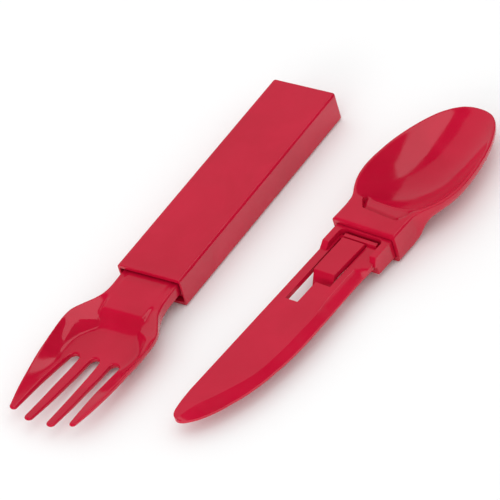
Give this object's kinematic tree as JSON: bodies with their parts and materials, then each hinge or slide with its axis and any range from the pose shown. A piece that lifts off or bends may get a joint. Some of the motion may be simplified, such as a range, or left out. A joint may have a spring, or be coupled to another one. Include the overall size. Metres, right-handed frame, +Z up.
{
  "type": "plastic cutlery pack",
  "caption": "Glossy red plastic travel cutlery laid out flat: a fork plugged into a hollow box handle beside a knife whose latched root plugs into a spoon's collar.",
  "frame": {"origin": "middle of the whole set's footprint, on the table it lies on", "axes": "+Z up from the table, +Y along the handle sleeve away from the fork, +X from the fork's half towards the knife's half"},
  "size_m": [0.1104, 0.1984, 0.0126],
  "materials": {
    "red_plastic": "glossy moulded"
  },
  "bodies": {
    "laid_out_pair": {"handle_sleeve": "red_plastic", "spoon": "red_plastic"},
    "fork": {"fork": "red_plastic"},
    "knife": {"knife": "red_plastic"}
  },
  "joints": [
    {"name": "fork_pull", "type": "slide", "parent": "laid_out_pair", "child": "fork", "axis": [0, -1, 0], "range_m": [0, 0.03]},
    {"name": "knife_pull", "type": "slide", "parent": "laid_out_pair", "child": "knife", "axis": [-0.0715, -0.9974, 0], "range_m": [0, 0.025]}
  ]
}
